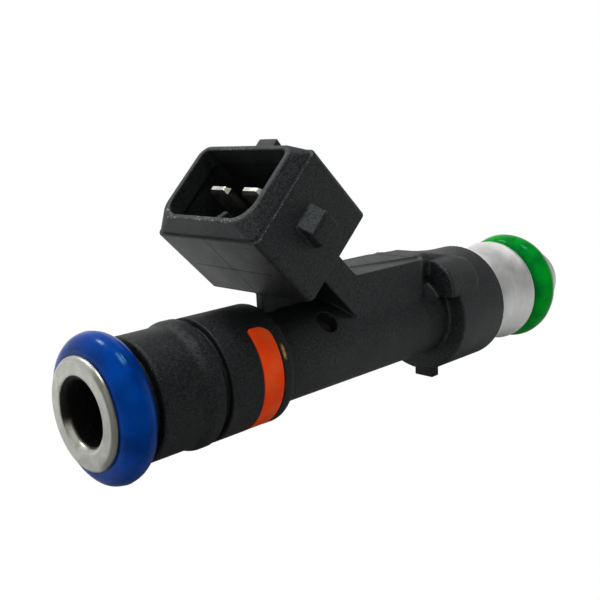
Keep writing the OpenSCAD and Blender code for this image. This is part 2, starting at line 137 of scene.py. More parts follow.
# Socket frame: a across, b up its back, c out of its mouth
SOCKET_X, SOCKET_Z = 15.325, 13.95
LEAN = math.radians(45)
SOCKET_W, SOCKET_H, SOCKET_D, BACK_SLANT = 15.95, 11.65, 9.55, 0.3
LIP_LEN, LIP_STEP, LIP_INSET = 1.75, 0.15, 1.0
CAVITY_W, CAVITY_B0, CAVITY_B1, CAVITY_C = 12.8, 1.6, 10.1, -7.6
LEDGE_C, LEDGE_STEP = -0.5, 0.25
KEY_W, KEY_H = 0.7, 2.3
KEY_END, KEY_TOP_END = 0.5, -0.45
SIDE_LATCH_W, SIDE_LATCH_B = 3.0, 5.8
SIDE_LATCH = [(-1.0, -2.8), (0.0, -2.8), (1.52, -3.95), (1.28, -4.2), (1.42, -4.5), (1.5, -5.95),
              (0.0, -6.35), (-1.0, -6.35)]
TOP_LATCH_W = 2.8
TOP_LATCH = [(-1.0, -0.05), (1.55, -0.05), (1.35, -1.6), (0.0, -3.2), (-1.0, -3.2)]

CROSS_LINE_C, CROSS_LINE_HALF = -5.05, 5.9

# Stem, rib, boss, post, web and tab
STEM_HALF, STEM_B0, STEM_B1 = 4.3, 4.6, 8.05
RIB_Z, RIB_END, RIB_FILLET, RIB_CORNER = 7.87, 46.3, 1.1, 2.4
PAD_HALF, PAD_X, PAD_Z = 3.1, 44.0, 8.15
PAD_OUTLINE = [(PAD_X, 7.0), (PAD_X, PAD_Z), (47.7, PAD_Z), (54.5, 6.9), (54.5, 5.0), (46.0, 5.0)]
WEDGE_X, WEDGE_HALF = 35.0, 2.8
BOSS_X, BOSS_R, BOSS_TAPER, BOSS_HALF = 47.5, 8.37, 0.09, 6.8
BOSS_OUTLINE = [(BOSS_X, 2.85), (BOSS_X, 7.2), (52.6, 7.2), (54.4, 6.6), (53.5, 4.4), (52.4, 2.95)]
POST_X, POST_LEN, POST_W = 22.1, 1.8, 1.2
WEB_T, WEB_END = 0.5, 32.4
TAB_X, TAB_LEN, TAB_W, TAB_Z = 49.9, 1.45, 2.8, -8.8
HOLE_X, HOLE_R, HOLE_ANGLE = 28.4, 1.3, 43.0

# Coil cup, nozzle
CUP_R = 6.25
YOKE_X, CUP_X, YOKE_HALF_T, YOKE_SLOT = 49.6, 50.8, 0.61, math.radians(38)
CUP_WALL, CUP_FLOOR, BODY_R = 0.6, 61.0, 4.6
CUP_FLARE_X, CUP_FLARE_R, CUP_END = 62.4, 6.9, 65.9
RETAINER_X, RETAINER_END, RETAINER_R = 71.75, 72.75, 6.2
TIP_R, TIP_BORE_R, TIP_CORNER = 4.4, 3.0, 0.5
SEAT_X, SEAT_R = 72.6, 2.2
ARMATURE_X, ARMATURE_BORE_R = 66.0, 3.2
SPRING_WIRE, SPRING_COIL, SPRING_TURNS = 0.27, 1.33, 6.5

VOXEL, COARSE_VOXEL = 0.16, 0.3

# ---------------------------------------------------------------- distances
# A solid is a signed distance: negative inside, zero on the skin.


class Space:
    """Points in the part's frame, with the radius about the axis and the socket's own axes."""

    def __init__(self, x, y, z):
        self.x, self.y, self.z = x, y, z
        self.q = np.hypot(y, z)
        dx, dz = x - SOCKET_X, z - SOCKET_Z
        self.a = -y
        self.b = dx * math.sin(LEAN) + dz * math.cos(LEAN)
        self.c = dz * math.sin(LEAN) - dx * math.cos(LEAN)


def socket_point(b, c):
    """A point of the socket's middle plane, as (x, z)."""
    return (SOCKET_X + b * math.sin(LEAN) - c * math.cos(LEAN),
            SOCKET_Z + b * math.cos(LEAN) + c * math.sin(LEAN))


def join_edge(d, h, r):
    """Where two skins meet at an outer edge, rounded by r."""
    u, v = d + r, h + r
    return np.hypot(np.maximum(u, 0), np.maximum(v, 0)) + np.minimum(np.maximum(u, v), 0) - r


def rod(s, x0, x1, radius, edge=0.15):
    """A cylinder on the axis with rounded ends."""
    return join_edge(s.q - radius, np.abs(s.x - (x0 + x1) / 2) - (x1 - x0) / 2, edge)


def round_box(u, v, half_u, half_v, r):
    p, q = np.abs(u) - half_u + r, np.abs(v) - half_v + r
    return np.hypot(np.maximum(p, 0), np.maximum(q, 0)) + np.minimum(np.maximum(p, q), 0) - r


def round_rect(a, b, width, b0, b1, r_low, r_high):
    """A rectangle with one radius on its lower corners and another on its upper ones."""
    r = np.where(b < (b0 + b1) / 2, r_low, r_high)
    return round_box(a, b - (b0 + b1) / 2, width / 2, (b1 - b0) / 2, r)


def outline(u, v, points):
    """Distance to a closed outline of straight edges."""
    best = np.full(u.shape, 1e9, u.dtype)
    inside = np.zeros(u.shape, bool)
    for (u0, v0), (u1, v1) in zip(points, points[1:] + points[:1]):
        eu, ev = u1 - u0, v1 - v0
        du, dv = u - u0, v - v0
        t = np.clip((du * eu + dv * ev) / (eu * eu + ev * ev), 0, 1)
        best = np.minimum(best, (du - t * eu) ** 2 + (dv - t * ev) ** 2)
        if abs(ev) > 1e-9:
            crosses = (v0 > v) != (v1 > v)
            inside ^= crosses & (u < u0 + (v - v0) * eu / ev)
    return np.where(inside, -1, 1) * np.sqrt(best)


def blend(a, b, r):
    """Union with a fillet of about radius r."""
    h = np.maximum(r - np.abs(a - b), 0)
    return np.minimum(a, b) - h * h / (4 * r)


def cut(a, b, r=0.12):
    """a without b, with its new edges rounded by about r."""
    h = np.maximum(r - np.abs(a + b), 0)
    return np.maximum(a, -b) + h * h / (4 * r)


def arc(centre, r, start, end, steps=6):
    angles = [math.radians(start + (end - start) * i / steps) for i in range(steps + 1)]
    return [(centre[0] + r * math.cos(t), centre[1] + r * math.sin(t)) for t in angles]


# ---------------------------------------------------------------- housing


def barrel_part(s):
    """Nose, neck with its flared shoulder, clip groove, front barrel, shank and collar."""
    slope = (SHOULDER_R - NECK_R) / (SHOULDER_X - FLARE_X)
    swell = np.clip((s.x - FLARE_X) / (SHOULDER_X - FLARE_X), 0, 1)
    swell = NECK_R + (SHOULDER_R - NECK_R) * swell * swell * (3 - 2 * swell)
    neck = join_edge((s.q - swell) / math.hypot(1, slope),
                     np.abs(s.x - (NECK_X + CLIP_X) / 2) - (CLIP_X - NECK_X) / 2, 0.32)
    front = np.minimum(rod(s, CLIP_X + CLIP_W, BARREL_END - 1, BARREL_R, 0.12),
                       rod(s, CLIP_X + CLIP_W + 1, BARREL_END, BARREL_R, 0.6))
    from_top = np.degrees(np.arctan2(np.abs(s.y), s.z))
    past_gap = (RING_GAP - from_top) * np.radians(1) * s.q
    slot = np.maximum(join_edge(RING_X - s.x, past_gap, RING_FRONT_CORNER),
                      join_edge(s.x - RING_X - RING_W, past_gap, RING_REAR_CORNER))
    front = cut(front, np.maximum(slot, BARREL_R - RING_T - s.q), 0.1)
    d = np.minimum(rod(s, NOSE_X, NECK_X + 1, NOSE_R), neck)
    d = np.minimum(d, rod(s, CLIP_X - 1, CLIP_X + CLIP_W + 1, CLIP_R))
    d = np.minimum(d, front)
    collar = np.maximum(rod(s, COLLAR_X, COLLAR_END, COLLAR_R, 0.2),
                        (s.x - COLLAR_END + s.q - COLLAR_R + 0.5) * math.sqrt(0.5))
    shank = rod(s, BARREL_END - 1, COLLAR_X + 1, SHANK_R)
    return blend(blend(d, shank, 0.35), collar, 0.4)


def latch(across, out, c, width, points):
    return join_edge(outline(out, c, points), np.abs(across) - width / 2, 0.16)


def socket_part(s):
    back = (-SOCKET_D - BACK_SLANT * s.b / SOCKET_H - s.c) / math.hypot(1, BACK_SLANT / SOCKET_H)
    body = join_edge(round_rect(s.a, s.b, SOCKET_W, 0, SOCKET_H, 0.7, 0.7),
                     np.maximum(s.c, back), 0.1)
    t = np.clip(s.c / LIP_LEN, 0, 1)
    groove = 0.18 * (1 - np.clip(s.c / 0.22, 0, 1) ** 2)
    inset = LIP_STEP + (LIP_INSET - LIP_STEP) * t + groove
    r_low, r_high = 0.7 + 1.7 * t, 0.7 + 0.7 * t
    mouth = round_box(s.a, s.b - SOCKET_H / 2, SOCKET_W / 2 - inset, SOCKET_H / 2 - inset,
                      np.where(s.b < SOCKET_H / 2, r_low, r_high))
    lean = LIP_LEN / math.hypot(LIP_LEN, LIP_INSET - LIP_STEP)
    lip = join_edge(mouth * lean, np.abs(s.c - LIP_LEN / 2 + 1) - LIP_LEN / 2 - 1, 0.12)
    d = np.minimum(body, lip)
    hollow = join_edge(round_rect(s.a, s.b, CAVITY_W, CAVITY_B0, CAVITY_B1, 2.2, 0.9),
                       CAVITY_C - s.c, 0.3)
    deep = join_edge(round_rect(s.a, s.b, CAVITY_W + 2 * LEDGE_STEP, CAVITY_B0,
                                CAVITY_B1 + LEDGE_STEP, 2.2, 0.9),
                     np.maximum(CAVITY_C - s.c, s.c - LEDGE_C), 0.1)
    d = cut(cut(d, deep, 0.05), hollow, 0.15)
    slope = (KEY_END - KEY_TOP_END) / KEY_H
    end = (s.c - KEY_END + slope * (s.b - CAVITY_B0)) / math.hypot(1, slope)
    key = join_edge(np.abs(s.a) - KEY_W / 2, s.b - CAVITY_B0 - KEY_H, 0.12)
    key = np.maximum(key, CAVITY_B0 - 0.3 - s.b)
    key = join_edge(key, np.maximum(end, CAVITY_C - s.c), 0.12)
    d = blend(d, key, 0.2)
    for bump in (latch(s.a, s.b - SOCKET_H, s.c, TOP_LATCH_W, TOP_LATCH),
                 latch(s.b - SIDE_LATCH_B, s.a - SOCKET_W / 2, s.c, SIDE_LATCH_W, SIDE_LATCH),
                 latch(s.b - SIDE_LATCH_B, -s.a - SOCKET_W / 2, s.c, SIDE_LATCH_W, SIDE_LATCH)):
        d = blend(d, bump, 0.15)
    return d


def stem_part(s):
    """Stem out of the socket's back and the rib along the barrel's top."""
    front_low = socket_point(STEM_B0, -SOCKET_D - 12)
    rear_foot = socket_point(STEM_B1, -SOCKET_D - 6.5)
    side = [front_low, socket_point(STEM_B0, 1 - SOCKET_D), socket_point(STEM_B1, 1 - SOCKET_D)]
    side += arc((rear_foot[0] + 0.95, RIB_Z + RIB_FILLET), RIB_FILLET, 225, 270)
    side += [(RIB_END, RIB_Z), (RIB_END, 2), (front_low[0], 2)]
    plan = round_box(s.x - RIB_END + 20, s.y, 20, STEM_HALF, RIB_CORNER)
    return join_edge(outline(s.x, s.z, side), plan, 0.2)


def pad_part(s):
    """Raised pad over the terminals, with a wedge that rises to it along the rib."""
    pad = join_edge(outline(s.x, s.z, PAD_OUTLINE), np.abs(s.y) - PAD_HALF, 1.1)
    spread = WEDGE_HALF / (PAD_X - WEDGE_X)
    plan = (np.abs(s.y) - spread * (s.x - WEDGE_X)) / math.hypot(1, spread)
    side = [(WEDGE_X - 1, 7.2), (WEDGE_X - 1, RIB_Z), (PAD_X + 1, PAD_Z), (PAD_X + 1, 7.2)]
    return blend(pad, join_edge(outline(s.x, s.z, side), plan, 0.1), 0.3)


def boss_part(s):
    section = join_edge(s.q - BOSS_R + BOSS_TAPER * (s.x - BOSS_X), np.abs(s.y) - BOSS_HALF, 1.0)
    return join_edge(outline(s.x, s.z, BOSS_OUTLINE), section, 0.45)


def post_and_web(s):
    post = join_edge(round_box(s.x - POST_X - POST_LEN / 2, s.y, POST_LEN / 2, POST_W / 2, 0.2),
                     np.abs(s.z - SHANK_R - 1.2) - 1.8, 0.1)
    side = [(POST_X + 1, SHANK_R - 0.6), (WEB_END, SHANK_R - 0.6),
            socket_point(STEM_B0 + 0.4, 0.4 - SOCKET_D), socket_point(0.9, 0.4 - SOCKET_D)]
    web = join_edge(outline(s.x, s.z, side), np.abs(s.y) - WEB_T / 2, 0.1)
    return np.minimum(post, web)


def tab_part(s):
    root_z = -5.0
    return join_edge(round_box(s.x - TAB_X - TAB_LEN / 2, s.y, TAB_LEN / 2, TAB_W / 2, 0.15),
                     np.abs(s.z - (TAB_Z + root_z) / 2) - (root_z - TAB_Z) / 2, 0.15)


def bore_part(s):
    """The steel tube's seat, the coil cup's seat, the yoke's slot and the two core-pin holes."""
    wedge = np.abs(s.y) * math.cos(YOKE_SLOT) - s.z * math.sin(YOKE_SLOT)
    yoke = np.maximum(s.q - CUP_R, np.abs(s.x - (YOKE_X + CUP_X) / 2) - YOKE_HALF_T)
    yoke = np.maximum(yoke, -wedge)
    d = np.minimum(s.q - TUBE_R, np.maximum(s.q - CUP_R, CUP_X - s.x))
    d = np.minimum(d, yoke)
    t = math.radians(HOLE_ANGLE)
    along = np.abs(s.y) * math.cos(t) + s.z * math.sin(t)
    beside = np.abs(s.y) * math.sin(t) - s.z * math.cos(t)
    hole = np.maximum(np.hypot(s.x - HOLE_X, beside) - HOLE_R, -along)
    return np.minimum(d, hole)


def housing_distance(x, y, z):
    s = Space(x, y, z)
    d = blend(barrel_part(s), stem_part(s), 0.3)
    d = blend(d, socket_part(s), 0.25)
    d = blend(d, pad_part(s), 0.5)
    d = blend(d, boss_part(s), 0.3)
    d = blend(d, post_and_web(s), 0.15)
    d = blend(d, tab_part(s), 0.2)
    return cut(d, bore_part(s), 0.1)


def skin(name, distance, low, high, voxel):
    """A mesh of the zero skin of a distance, with its points and normals drawn onto that skin."""
    low, high = np.array(low) - 3 * voxel, np.array(high) + 3 * voxel
    counts = np.ceil((high - low) / voxel).astype(int)
    axes = [(low[i] + voxel * np.arange(counts[i])).astype(np.float32) for i in range(3)]
    values = np.empty(counts, np.float32)
    slab = 16
    for i in range(0, counts[0], slab):
        x, y, z = np.meshgrid(axes[0][i:i + slab], axes[1], axes[2], indexing="ij")
        values[i:i + slab] = distance(x, y, z)
    grid = openvdb.FloatGrid(background=1.0)
    grid.copyFromArray(np.clip(values, -4 * voxel, 4 * voxel))
    points, triangles, quads = grid.convertToPolygons(isovalue=0.0)
    points = points.astype(np.float64) * voxel + low
    for _ in range(3):
        value, slope = gradient(distance, points)
        points -= slope * value[:, None] * 0.9
    _, slope = gradient(distance, points)
    faces = triangles.tolist() + quads.tolist()
    mesh = bpy.data.meshes.new(name)
    mesh.from_pydata((points * MM).tolist(), [], faces)
    mesh.validate()
    mesh.shade_smooth()
    mesh.normals_split_custom_set_from_vertices(slope.tolist())
    return mesh


def gradient(distance, points, step=0.02):
    """Distance and unit slope at points."""
    x, y, z = points.T
    value = distance(x, y, z)
    slope = np.stack([distance(x + step, y, z) - distance(x - step, y, z),
                      distance(x, y + step, z) - distance(x, y - step, z),
                      distance(x, y, z + step) - distance(x, y, z - step)], 1)
    return value, slope / np.maximum(np.linalg.norm(slope, axis=1, keepdims=True), 1e-9)


# ---------------------------------------------------------------- mesh helpers


def add_object(name, mesh):
    piece = bpy.data.objects.new(name, mesh)
    bpy.context.scene.collection.objects.link(piece)
    return piece


def revolve(name, points, segments=192, wobble=None):
    """A solid of revolution about the axis, from (x, radius) points."""
    bm = bmesh.new()
    rings = []
    for k in range(segments):
        t = 2 * math.pi * k / segments
        ring = []
        for x, r in points:
            p = Vector((x, r * math.sin(t), r * math.cos(t)))
            if wobble:
                p += wobble(p)
            ring.append(bm.verts.new(p * MM))
        rings.append(ring)
    for k in range(segments):
        ring, after = rings[k], rings[(k + 1) % segments]
        for i in range(len(points)):
            j = (i + 1) % len(points)
            bm.faces.new((ring[i], after[i], after[j], ring[j]))
    bmesh.ops.recalc_face_normals(bm, faces=bm.faces)
    mesh = bpy.data.meshes.new(name)
    bm.to_mesh(mesh)
    bm.free()
    mesh.shade_smooth()
    return mesh


def sweep(name, loops):
    """A solid through a row of equal closed loops of points, capped at both ends."""
    bm = bmesh.new()
    rings = [[bm.verts.new(p) for p in loop] for loop in loops]
    for ring, after in zip(rings, rings[1:]):
        for i in range(len(ring)):
            j = (i + 1) % len(ring)
            bm.faces.new((ring[i], ring[j], after[j], after[i]))
    bm.faces.new(rings[0])
    bm.faces.new(rings[-1])
    bmesh.ops.recalc_face_normals(bm, faces=bm.faces)
    mesh = bpy.data.meshes.new(name)
    bm.to_mesh(mesh)
    bm.free()
    mesh.shade_smooth()
    return mesh


def soften(points, r, steps=4):
    """A closed (x, radius) outline with each corner replaced by an arc-like curve of radius r."""
    out = []
    count = len(points)
    for i, (x, y) in enumerate(points):
        p = Vector((x, y))
        before, after = Vector(points[i - 1]), Vector(points[(i + 1) % count])
        size = r[i] if isinstance(r, (list, tuple)) else r
        size = min(size, (before - p).length * 0.45, (after - p).length * 0.45)
        if size < 1e-4:
            out.append((x, y))
            continue
        start = p + (before - p).normalized() * size
        end = p + (after - p).normalized() * size
        for k in range(steps + 1):
            t = k / steps
            q = start * (1 - t) ** 2 + p * 2 * t * (1 - t) + end * t * t
            out.append((q.x, q.y))
    return out


# ---------------------------------------------------------------- materials


class Shader:
    """A node tree with short calls to add nodes to it."""

    def __init__(self, name):
        self.material = bpy.data.materials.new(name)
        self.material.use_nodes = True
        self.tree = self.material.node_tree
        self.bsdf = self.tree.nodes["Principled BSDF"]
        coordinate = self.tree.nodes.new("ShaderNodeTexCoord").outputs["Object"]
        self.place = self.vector("MULTIPLY", coordinate, (1000, 1000, 1000))
        self.x, self.y, self.z = self.add("ShaderNodeSeparateXYZ", {"Vector": self.place}).outputs

    def add(self, kind, inputs, **settings):
        made = self.tree.nodes.new(kind)
        for key, value in settings.items():
            setattr(made, key, value)
        for key, value in inputs.items():
            if isinstance(value, bpy.types.NodeSocket):
                self.tree.links.new(value, made.inputs[key])
            else:
                made.inputs[key].default_value = value
        return made

    def vector(self, operation, a, b):
        return self.add("ShaderNodeVectorMath", {0: a, 1: b}, operation=operation).outputs[0]

    def math(self, operation, a, b=0.0, c=0.0):
        return self.add("ShaderNodeMath", {0: a, 1: b, 2: c}, operation=operation).outputs[0]

    def noise(self, size, detail=3.0, place=None, roughness=0.55):
        """Noise whose features are about size millimetres."""
        made = self.add("ShaderNodeTexNoise", {"Vector": place or self.place, "Scale": 1 / size,
                                               "Detail": detail, "Roughness": roughness})
        return made.outputs["Fac"]

    def cells(self, size):
        made = self.add("ShaderNodeTexVoronoi", {"Vector": self.place, "Scale": 1 / size})
        return made.outputs["Distance"]

    def band(self, value, low, high, out_low=0.0, out_high=1.0):
        made = self.add("ShaderNodeMapRange", {"Value": value, "From Min": low, "From Max": high,
                                               "To Min": out_low, "To Max": out_high},
                        interpolation_type="SMOOTHSTEP")
        return made.outputs[0]

    def line(self, value, centre, half):
        """1 on a line where value is centre, fading to 0 at half a width away."""
        away = self.math("ABSOLUTE", self.math("SUBTRACT", value, centre))
        return self.band(away, half, half * 0.3)

    def mix(self, factor, a, b):
        made = self.add("ShaderNodeMix", {"Factor": factor}, data_type="RGBA")
        for socket, value in ((made.inputs[6], a), (made.inputs[7], b)):
            if isinstance(value, bpy.types.NodeSocket):
                self.tree.links.new(value, socket)
            else:
                socket.default_value = (*value, 1)
        return made.outputs[2]

    def edges(self, radius):
        """1 along outer edges, 0 on open faces."""
        soft = self.add("ShaderNodeBevel", {"Radius": radius * MM}, samples=4).outputs[0]
        flat = self.add("ShaderNodeNewGeometry", {}).outputs["Normal"]
        turn = self.add("ShaderNodeVectorMath", {0: soft, 1: flat}, operation="DOT_PRODUCT")
        return self.band(turn.outputs["Value"], 0.995, 0.85)

    def bump(self, heights):
        """Chains (height, millimetres) pairs into one normal."""
        normal = None
        for height, depth in heights:
            inputs = {"Height": height, "Distance": depth * MM, "Strength": 1.0}
            if normal is not None:
                inputs["Normal"] = normal
            normal = self.add("ShaderNodeBump", inputs).outputs[0]
        self.tree.links.new(normal, self.bsdf.inputs["Normal"])

    def set(self, **values):
        for key, value in values.items():
            socket = self.bsdf.inputs[key.replace("_", " ")]
            if isinstance(value, bpy.types.NodeSocket):
                self.tree.links.new(value, socket)
            elif key in ("Base_Color", "Specular_Tint"):
                socket.default_value = (*value, 1)
            else:
                socket.default_value = value


def black_nylon():
    """Glass-filled nylon: fine grain, pale specks, witness lines of the mould with painted shade
    along them, dulled edges.
    """
    s = Shader("black_nylon")
    patch = s.noise(4.0, 4)
    grain = s.noise(0.2, 4, roughness=0.7)
    speck = s.math("MULTIPLY", s.band(s.cells(0.9), 0.09, 0.03),
                   s.band(s.noise(1.7, 2), 0.58, 0.66))
    glint = s.math("MULTIPLY", s.band(s.cells(0.3), 0.16, 0.06),
                   s.band(s.noise(0.5, 2), 0.56, 0.66))
    dx = s.math("SUBTRACT", s.x, SOCKET_X)
    dz = s.math("SUBTRACT", s.z, SOCKET_Z)
    b = s.math("MULTIPLY", s.math("ADD", dx, dz), math.sqrt(0.5))
    c = s.math("MULTIPLY", s.math("SUBTRACT", dz, dx), math.sqrt(0.5))
    side = s.math("ABSOLUTE", s.y)
    on_socket = s.band(s.z, 7.2, 7.6)
    under = s.math("MULTIPLY", s.band(b, 0.35, 0.2), on_socket)
    centre_line = s.line(s.y, 0.0, 0.09)
    cross_line = s.line(s.math("MULTIPLY_ADD", s.y, -0.035, c), CROSS_LINE_C, 0.1)
    cross_line = s.math("MULTIPLY", cross_line,
                        s.band(side, CROSS_LINE_HALF, CROSS_LINE_HALF - 0.2))
    lines = s.math("MULTIPLY", s.math("MAXIMUM", centre_line, cross_line), under)
    ragged = s.band(s.noise(0.22, 3), 0.5, 0.62)
    seam = s.math("MULTIPLY", s.line(c, 0.0, 0.12), s.band(side, SOCKET_W / 2 - 0.2, SOCKET_W / 2))
    mouth = s.math("MULTIPLY", s.line(c, LIP_LEN, 0.13),
                   s.band(side, CAVITY_W / 2 + 0.1, CAVITY_W / 2 - 0.3))
    mouth = s.math("MULTIPLY", mouth, s.band(s.noise(1.6, 2), 0.5, 0.6))
    flash = s.math("MULTIPLY", s.math("MAXIMUM", seam, s.math("MULTIPLY", mouth, on_socket)),
                   ragged)
    edge = s.math("MULTIPLY", s.edges(0.22), s.band(s.noise(0.5, 3), 0.35, 0.7))
    colour = s.mix(patch, (0.0040, 0.0042, 0.0046), (0.0065, 0.0068, 0.0072))
    colour = s.mix(s.band(grain, 0.45, 0.8), colour, (0.012, 0.012, 0.013))
    colour = s.mix(s.math("MULTIPLY", edge, 0.35), colour, (0.030, 0.031, 0.033))
    colour = s.mix(s.math("MULTIPLY", glint, 0.5), colour, (0.06, 0.062, 0.064))
    colour = s.mix(speck, colour, (0.16, 0.16, 0.15))
    colour = s.mix(s.math("MULTIPLY", flash, 0.8), colour, (0.22, 0.23, 0.23))
    # painted shade: the witness lines are painted near black, standing in for the shade in their
    # shallow grooves
    colour = s.mix(lines, colour, (0.002, 0.002, 0.002))
    around = s.math("ARCTAN2", s.y, s.z)
    degrees = s.math("MULTIPLY", around, -180 / math.pi)
    residue = s.math("MULTIPLY", s.line(s.x, RING_X + RING_W + 0.4, 0.26),
                     s.line(degrees, RESIDUE_ANGLE, 9))
    residue = s.math("MULTIPLY", residue, s.band(s.noise(0.35, 3), 0.38, 0.46))
    colour = s.mix(residue, colour, (0.50, 0.30, 0.09))
    ridges = s.math("SINE", s.math("MULTIPLY", around, 230.0))
    on_flare = s.math("MULTIPLY", s.line(s.x, 10.35, 0.6), s.band(s.noise(1.4, 2), 0.4, 0.6))
    ridges = s.math("MULTIPLY", ridges, on_flare)
    rough = s.math("ADD", s.band(grain, 0.36, 0.64, 0.36, 0.58), s.band(patch, 0.3, 0.7, 0.0, 0.08))
    shine = s.math("MULTIPLY", s.band(grain, 0.36, 0.64, 0.24, 0.68),
                   s.band(lines, 0, 1, 1.0, 0.15))
    dull_front = s.band(s.x, DULL_TO_X, SHINY_FROM_X, 0.62, 1.0)
    shine = s.math("MULTIPLY", shine, s.math("MAXIMUM", on_socket, dull_front))
    s.set(Base_Color=colour, Roughness=rough, Specular_IOR_Level=shine, IOR=1.5,
          Specular_Tint=(0.90, 0.99, 1.0))
    s.bump([(grain, 0.055), (s.noise(0.45, 3), 0.04), (ridges, 0.035), (flash, 0.05),
            (s.math("MULTIPLY", lines, -1.0), 0.06)])
    return s.material


def rubber(name, deep, bright, roughness, gloss=0.5, tint=(1, 1, 1)):
    """Seal rubber or bright moulded plastic: smooth, slightly mottled, a faint wave in its skin."""
    s = Shader(name)
    patch = s.noise(3.0, 3)
    fine = s.noise(0.25, 3)
    colour = s.mix(s.band(patch, 0.3, 0.7), deep, bright)
    dust = s.math("MULTIPLY", s.band(s.cells(0.8), 0.05, 0.02), s.band(s.noise(1.3), 0.62, 0.68))
    colour = s.mix(s.math("MULTIPLY", dust, 0.2), colour, (0.6, 0.65, 0.7))
    wear = s.math("MULTIPLY", s.edges(0.2), s.band(fine, 0.4, 0.7, 0.0, 0.3))
    colour = s.mix(wear, colour, tuple(min(1, 1.3 * v + 0.01) for v in bright))
    s.set(Base_Color=colour, Roughness=s.band(fine, 0.3, 0.7, roughness - 0.04, roughness + 0.06),
          IOR=1.15, Specular_IOR_Level=gloss, Specular_Tint=tint)
    s.bump([(s.noise(1.6, 2), 0.02), (fine, 0.002)])
    return s.material


def metal(name, dark, light, roughness, brush="round", stain=None, grain=0.004, dark_mouth=False):
    """Turned or drawn metal: fine marks round the axis or along it, soft stains, bright edges.

    A dark-mouthed one has a rim darker on its -Y side, a painted dark brownish reflection on the +Y
    side of its mouth, and painted shade in its bore and on the upper side of its mouth.
    """
    s = Shader(name)
    radius = s.math("SQRT", s.math("ADD", s.math("MULTIPLY", s.y, s.y),
                                   s.math("MULTIPLY", s.z, s.z)))
    turned = s.add("ShaderNodeCombineXYZ", {"X": s.math("MULTIPLY", s.x, 9.0),
                                            "Y": s.math("MULTIPLY", radius, 9.0),
                                            "Z": s.math("ARCTAN2", s.y, s.z)}).outputs[0]
    along = s.vector("MULTIPLY", s.place, (0.15, 6.0, 6.0))
    marks = s.noise(1.0, 4, turned if brush == "round" else along, 0.65)
    cloud = s.noise(1.8, 3)
    colour = s.mix(s.band(cloud, 0.3, 0.7), dark, light)
    colour = s.mix(s.band(marks, 0.35, 0.75, 0.0, 0.35), colour, tuple(v * 0.75 for v in dark))
    if stain:
        spots = s.math("MULTIPLY", s.band(s.noise(2.2, 5), 0.56, 0.72), 0.7)
        colour = s.mix(spots, colour, stain)
    edge = s.math("MULTIPLY", s.edges(0.15), 0.5)
    colour = s.mix(edge, colour, tuple(min(1, v * 1.25) for v in light))
    rough = s.math("ADD", s.band(marks, 0.3, 0.7, roughness - 0.05, roughness + 0.07),
                   s.band(cloud, 0.3, 0.7, 0.0, 0.06))
    if dark_mouth:
        # painted shade: the bore past its mouth and the upper side of the bell are painted near
        # black, standing in for the shade and dark reflection inside the bore
        inside = s.math("MULTIPLY", s.band(radius, BORE_R + 0.58, BORE_R + 0.42),
                        s.math("MAXIMUM", s.band(s.z, -1.9, -0.9), s.band(s.x, 0.5, 0.75)))
        rim = s.math("MULTIPLY", s.band(radius, RIM_R - 0.35, RIM_R),
                     s.band(s.y, -2.0, -3.6, 0.0, 0.75))
        colour = s.mix(rim, colour, (0.13, 0.125, 0.10))
        # painted reflection: a dark brownish patch on the +Y side of the bell stands in for the
        # dark reflection there
        painted_dark_reflection = s.math("MULTIPLY", s.band(radius, 4.1, 3.7), s.band(s.y, 2.2, 3.3, 0.0, 0.8))
        painted_dark_reflection = s.math("MULTIPLY", painted_dark_reflection, s.band(s.noise(0.9, 4), 0.35, 0.55, 0.35, 1.0))
        colour = s.mix(painted_dark_reflection, colour, (0.10, 0.075, 0.03))
        painted_bore_shade = s.math("MULTIPLY", inside, s.band(s.noise(0.5, 4), 0.2, 0.5, 0.93, 1.0))
        colour = s.mix(painted_bore_shade, colour, (0.018, 0.018, 0.017))
        rough = s.math("ADD", rough, s.math("MULTIPLY", painted_bore_shade, 0.35))
    s.set(Base_Color=colour, Metallic=1.0, Roughness=rough)
    s.bump([(marks, grain), (s.noise(0.12, 3), 0.002)])
    return s.material


def mesh_weave():
    """Woven screen of fine wires."""
    s = Shader("filter_mesh")
    around = s.math("MULTIPLY", s.math("ARCTAN2", s.y, s.z), 60.0)
    warp = s.math("SINE", around)
    weft = s.math("SINE", s.math("MULTIPLY", s.x, 2 * math.pi / 0.25))
    weave = s.math("MULTIPLY", warp, weft)
    colour = s.mix(s.band(weave, -0.6, 0.6), (0.05, 0.05, 0.05), (0.35, 0.35, 0.33))
    colour = s.mix(s.math("MULTIPLY", s.noise(0.8), 0.5), colour, (0.12, 0.11, 0.09))
    s.set(Base_Color=colour, Metallic=0.6, Roughness=s.band(weave, -1, 1, 0.4, 0.6))
    s.bump([(weave, 0.03)])
    return s.material


def wound_copper():
    """Enamelled wire, turn beside turn, painted darker between the turns as shade."""
    s = Shader("copper_wire")
    turns = s.math("ABSOLUTE", s.math("SINE", s.math("MULTIPLY", s.x, math.pi / 0.16)))
    # painted shade: the colour darkens where one turn meets the next
    colour = s.mix(turns, (0.12, 0.03, 0.01), (0.55, 0.19, 0.06))
    colour = s.mix(s.band(s.noise(1.2), 0.4, 0.7, 0.0, 0.4), colour, (0.35, 0.1, 0.03))
    s.set(Base_Color=colour, Metallic=0.8, Roughness=s.band(s.noise(0.4), 0.3, 0.7, 0.2, 0.35))
    s.bump([(turns, 0.05)])
    return s.material


def plain_plastic(name, dark, light, roughness):
    s = Shader(name)
    patch = s.noise(2.5, 4)
    grain = s.noise(0.14, 3)
    colour = s.mix(s.band(patch, 0.3, 0.7), dark, light)
    wear = s.math("MULTIPLY", s.edges(0.2), s.band(s.noise(0.5), 0.4, 0.7, 0.0, 0.6))
    colour = s.mix(wear, colour, tuple(min(1, v * 2 + 0.03) for v in light))
    s.set(Base_Color=colour, Roughness=s.band(grain, 0.3, 0.7, roughness - 0.05, roughness + 0.07))
    s.bump([(grain, 0.008), (s.noise(0.8, 2), 0.008)])
    return s.material


